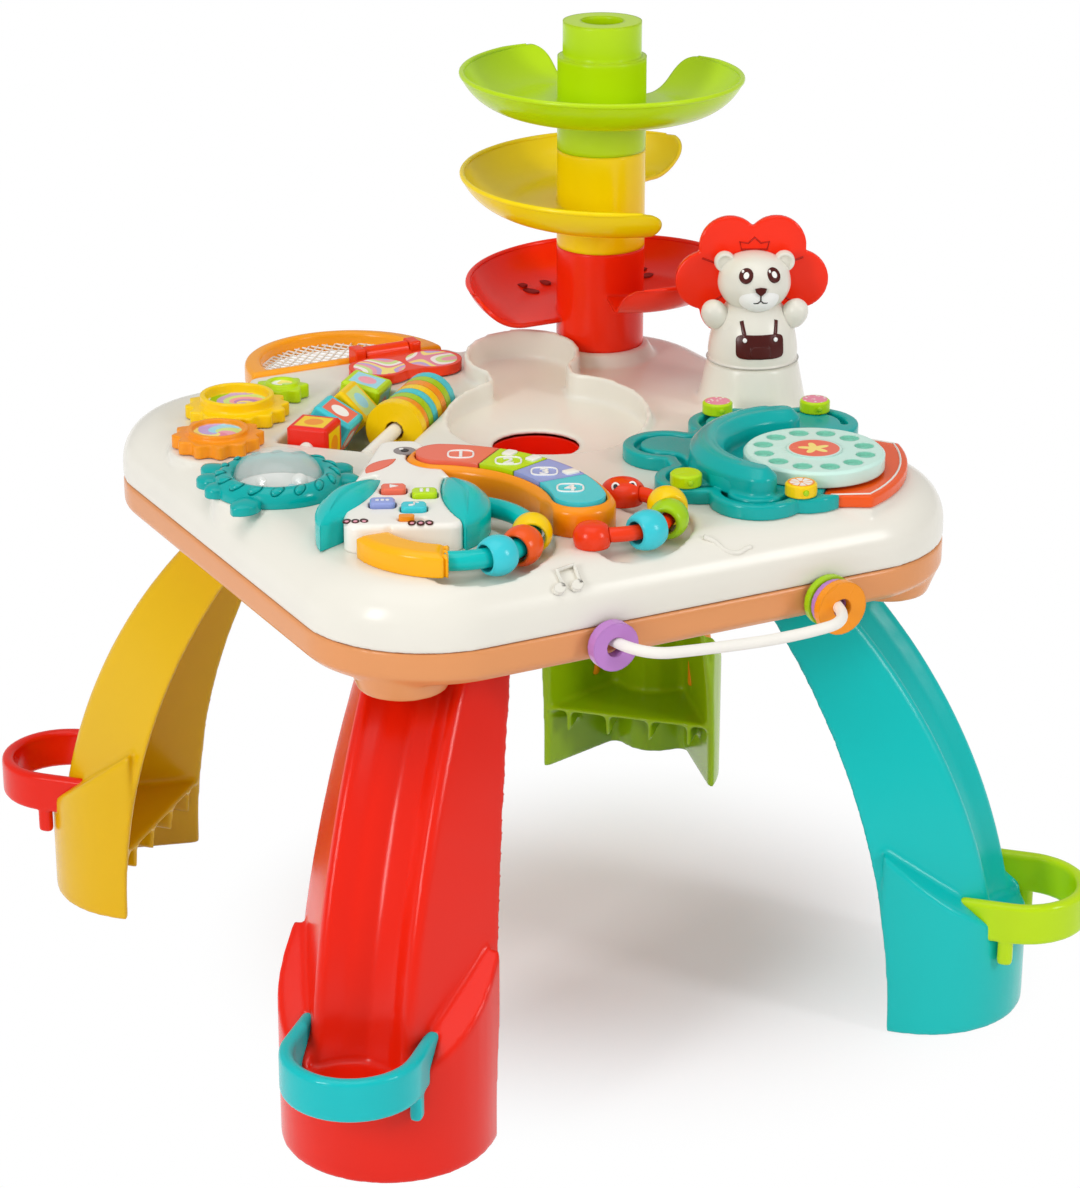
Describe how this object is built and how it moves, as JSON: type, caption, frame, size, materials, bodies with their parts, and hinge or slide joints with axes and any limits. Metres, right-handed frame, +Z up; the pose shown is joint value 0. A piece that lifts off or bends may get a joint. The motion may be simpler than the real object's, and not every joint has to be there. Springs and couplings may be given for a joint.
{
  "type": "activity table",
  "caption": "Square toddler activity table on curved ball-run legs, with a spiral ball tower, gears, keys, dial phone, bead rails, turning lion and side net hoop.",
  "frame": {"origin": "on the floor under the middle of the table top", "axes": "+Z up; -Y is the side with the pull cord, +Y the side with the net hoop"},
  "size_m": [0.4822, 0.4822, 0.504],
  "materials": {
    "cream": "satin moulded",
    "peach": "satin moulded",
    "red": "semi-gloss moulded",
    "teal": "semi-gloss moulded",
    "turquoise": "semi-gloss moulded",
    "yellow": "semi-gloss moulded",
    "green": "semi-gloss moulded",
    "orange": "semi-gloss moulded",
    "coral": "semi-gloss moulded",
    "violet": "semi-gloss moulded",
    "lavender": "semi-gloss moulded",
    "blue": "semi-gloss moulded",
    "mint": "satin moulded",
    "clear": "clear moulded",
    "net": "open mesh",
    "cord": "soft braided"
  },
  "bodies": {
    "table": {"top_shell": "cream", "bottom_shell": "peach", "battery_door": "peach", "ball_chute": "red", "leg_red": "red", "leg_teal": "turquoise", "leg_yellow": "yellow", "leg_green": "green", "catch_hoop_red": "turquoise", "catch_hoop_teal": "green", "catch_hoop_yellow": "red", "catch_hoop_green": "orange", "tower_red": "red", "tower_yellow": "yellow", "tower_green": "green", "flip_hinge": "red", "tray_rods": "cream", "bird_panel": "cream", "bird_wings": "teal", "beak_and_tail": "orange", "worm_rail": "red", "fish_bezel": "teal", "dome_lens": "clear", "phone_plate": "teal", "phone_cheek": "red", "net_hoop": "orange", "net": "net", "pull_cord": "cord"},
    "gear_yellow": {"gear_yellow": "yellow"},
    "gear_orange": {"gear_orange": "orange"},
    "gear_green": {"gear_green": "green"},
    "flip_page": {"flip_page": "red"},
    "block_red": {"block_red": "red"},
    "block_turquoise": {"block_turquoise": "turquoise"},
    "block_yellow": {"block_yellow": "yellow"},
    "block_green": {"block_green": "green"},
    "counting_rings": {"counting_rings": "yellow"},
    "key_coral": {"key_coral": "coral"},
    "key_lime": {"key_lime": "green"},
    "key_lavender": {"key_lavender": "lavender"},
    "key_teal": {"key_teal": "blue"},
    "button_coral": {"button_coral": "coral"},
    "button_lime": {"button_lime": "green"},
    "button_lavender": {"button_lavender": "lavender"},
    "button_teal": {"button_teal": "blue"},
    "power_switch": {"power_switch": "orange"},
    "beads_yellow_orange_a": {"beads_yellow_orange_a": "yellow"},
    "beads_blue_a": {"beads_blue_a": "blue"},
    "beads_yellow_green_b": {"beads_yellow_green_b": "yellow"},
    "beads_blue_b": {"beads_blue_b": "blue"},
    "dial": {"dial": "mint"},
    "fruit_berry": {"fruit_berry": "green"},
    "fruit_melon": {"fruit_melon": "green"},
    "fruit_lemon": {"fruit_lemon": "green"},
    "fruit_slice": {"fruit_slice": "orange"},
    "lion": {"lion_figure": "cream", "lion_mane": "red"},
    "cord_ring_left": {"cord_ring_left": "violet"},
    "cord_rings_right": {"cord_rings_right": "orange"}
  },
  "joints": [
    {"name": "gear_yellow_turn", "type": "hinge", "parent": "table", "child": "gear_yellow", "pos_m": [-0.122, 0.116, 0.307], "axis": [0, 0, 1], "continuous": true},
    {"name": "gear_orange_turn", "type": "hinge", "parent": "table", "child": "gear_orange", "pos_m": [-0.15183, 0.0734, 0.307], "axis": [0, 0, 1], "continuous": true},
    {"name": "gear_green_turn", "type": "hinge", "parent": "table", "child": "gear_green", "pos_m": [-0.08527, 0.13636, 0.307], "axis": [0, 0, 1], "continuous": true},
    {"name": "flip_page_turn", "type": "hinge", "parent": "table", "child": "flip_page", "pos_m": [-0.002, 0.173, 0.309], "axis": [-1, 0, 0], "range_deg": [0, 150]},
    {"name": "block_red_turn", "type": "hinge", "parent": "table", "child": "block_red", "pos_m": [-0.06973, 0.09173, 0.3], "axis": [0.7071, 0.7071, 0], "continuous": true},
    {"name": "block_turquoise_turn", "type": "hinge", "parent": "table", "child": "block_turquoise", "pos_m": [-0.06973, 0.09173, 0.3], "axis": [0.7071, 0.7071, 0], "continuous": true},
    {"name": "block_yellow_turn", "type": "hinge", "parent": "table", "child": "block_yellow", "pos_m": [-0.06973, 0.09173, 0.3], "axis": [0.7071, 0.7071, 0], "continuous": true},
    {"name": "block_green_turn", "type": "hinge", "parent": "table", "child": "block_green", "pos_m": [-0.06973, 0.09173, 0.3], "axis": [0.7071, 0.7071, 0], "continuous": true},
    {"name": "counting_rings_slide", "type": "slide", "parent": "table", "child": "counting_rings", "axis": [-0.7071, -0.7071, 0], "range_m": [0, 0.04]},
    {"name": "key_coral_slide", "type": "slide", "parent": "table", "child": "key_coral", "axis": [0, 0, -1], "range_m": [0, 0.002], "stiffness_N_per_m": 400},
    {"name": "key_lime_slide", "type": "slide", "parent": "table", "child": "key_lime", "axis": [0, 0, -1], "range_m": [0, 0.002], "stiffness_N_per_m": 400},
    {"name": "key_lavender_slide", "type": "slide", "parent": "table", "child": "key_lavender", "axis": [0, 0, -1], "range_m": [0, 0.002], "stiffness_N_per_m": 400},
    {"name": "key_teal_slide", "type": "slide", "parent": "table", "child": "key_teal", "axis": [0, 0, -1], "range_m": [0, 0.002], "stiffness_N_per_m": 400},
    {"name": "button_coral_slide", "type": "slide", "parent": "table", "child": "button_coral", "axis": [0, 0, -1], "range_m": [0, 0.002], "stiffness_N_per_m": 300},
    {"name": "button_lime_slide", "type": "slide", "parent": "table", "child": "button_lime", "axis": [0, 0, -1], "range_m": [0, 0.002], "stiffness_N_per_m": 300},
    {"name": "button_lavender_slide", "type": "slide", "parent": "table", "child": "button_lavender", "axis": [0, 0, -1], "range_m": [0, 0.002], "stiffness_N_per_m": 300},
    {"name": "button_teal_slide", "type": "slide", "parent": "table", "child": "button_teal", "axis": [0, 0, -1], "range_m": [0, 0.002], "stiffness_N_per_m": 300},
    {"name": "power_switch_slide", "type": "slide", "parent": "table", "child": "power_switch", "axis": [0.9078, -0.4195, 0], "range_m": [0, 0.006]},
    {"name": "beads_yellow_orange_a_turn", "type": "hinge", "parent": "table", "child": "beads_yellow_orange_a", "pos_m": [-0.106, -0.121, 0.3086], "axis": [0, 0, 1], "range_deg": [0, 28]},
    {"name": "beads_blue_a_turn", "type": "hinge", "parent": "table", "child": "beads_blue_a", "pos_m": [-0.106, -0.121, 0.3086], "axis": [0, 0, 1], "range_deg": [-20, 0]},
    {"name": "beads_yellow_green_b_turn", "type": "hinge", "parent": "table", "child": "beads_yellow_green_b", "pos_m": [-0.022, -0.133, 0.309], "axis": [0, 0, 1], "range_deg": [0, 17]},
    {"name": "beads_blue_b_turn", "type": "hinge", "parent": "table", "child": "beads_blue_b", "pos_m": [-0.022, -0.133, 0.309], "axis": [0, 0, 1], "range_deg": [-14, 0]},
    {"name": "dial_turn", "type": "hinge", "parent": "table", "child": "dial", "pos_m": [0.11, -0.126, 0.315], "axis": [0, 0, 1], "continuous": true},
    {"name": "fruit_berry_turn", "type": "hinge", "parent": "table", "child": "fruit_berry", "pos_m": [0.11, -0.042, 0.311], "axis": [0, 0, 1], "range_deg": [-45, 45]},
    {"name": "fruit_melon_turn", "type": "hinge", "parent": "table", "child": "fruit_melon", "pos_m": [0.148, -0.062, 0.311], "axis": [0, 0, 1], "range_deg": [-50, 40]},
    {"name": "fruit_lemon_turn", "type": "hinge", "parent": "table", "child": "fruit_lemon", "pos_m": [0.046, -0.112, 0.311], "axis": [0, 0, 1], "range_deg": [-60, 0]},
    {"name": "fruit_slice_turn", "type": "hinge", "parent": "table", "child": "fruit_slice", "pos_m": [0.088, -0.15, 0.311], "axis": [0, 0, 1], "range_deg": [-12, 12]},
    {"name": "lion_turn", "type": "hinge", "parent": "table", "child": "lion", "pos_m": [0.155, 0.012, 0.327], "axis": [0, 0, 1], "range_deg": [-4, 70]},
    {"name": "cord_ring_left_turn", "type": "hinge", "parent": "table", "child": "cord_ring_left", "pos_m": [-0.05, -0.19275, 0.2613], "axis": [0, -1, 0], "continuous": true},
    {"name": "cord_rings_right_turn", "type": "hinge", "parent": "table", "child": "cord_rings_right", "pos_m": [0.08, -0.1967, 0.2613], "axis": [0, -1, 0], "continuous": true}
  ],
  "couplings": [
    {"joint": "gear_orange_turn", "follows": "gear_yellow_turn", "ratio": -1.1667},
    {"joint": "gear_green_turn", "follows": "gear_yellow_turn", "ratio": -2}
  ]
}
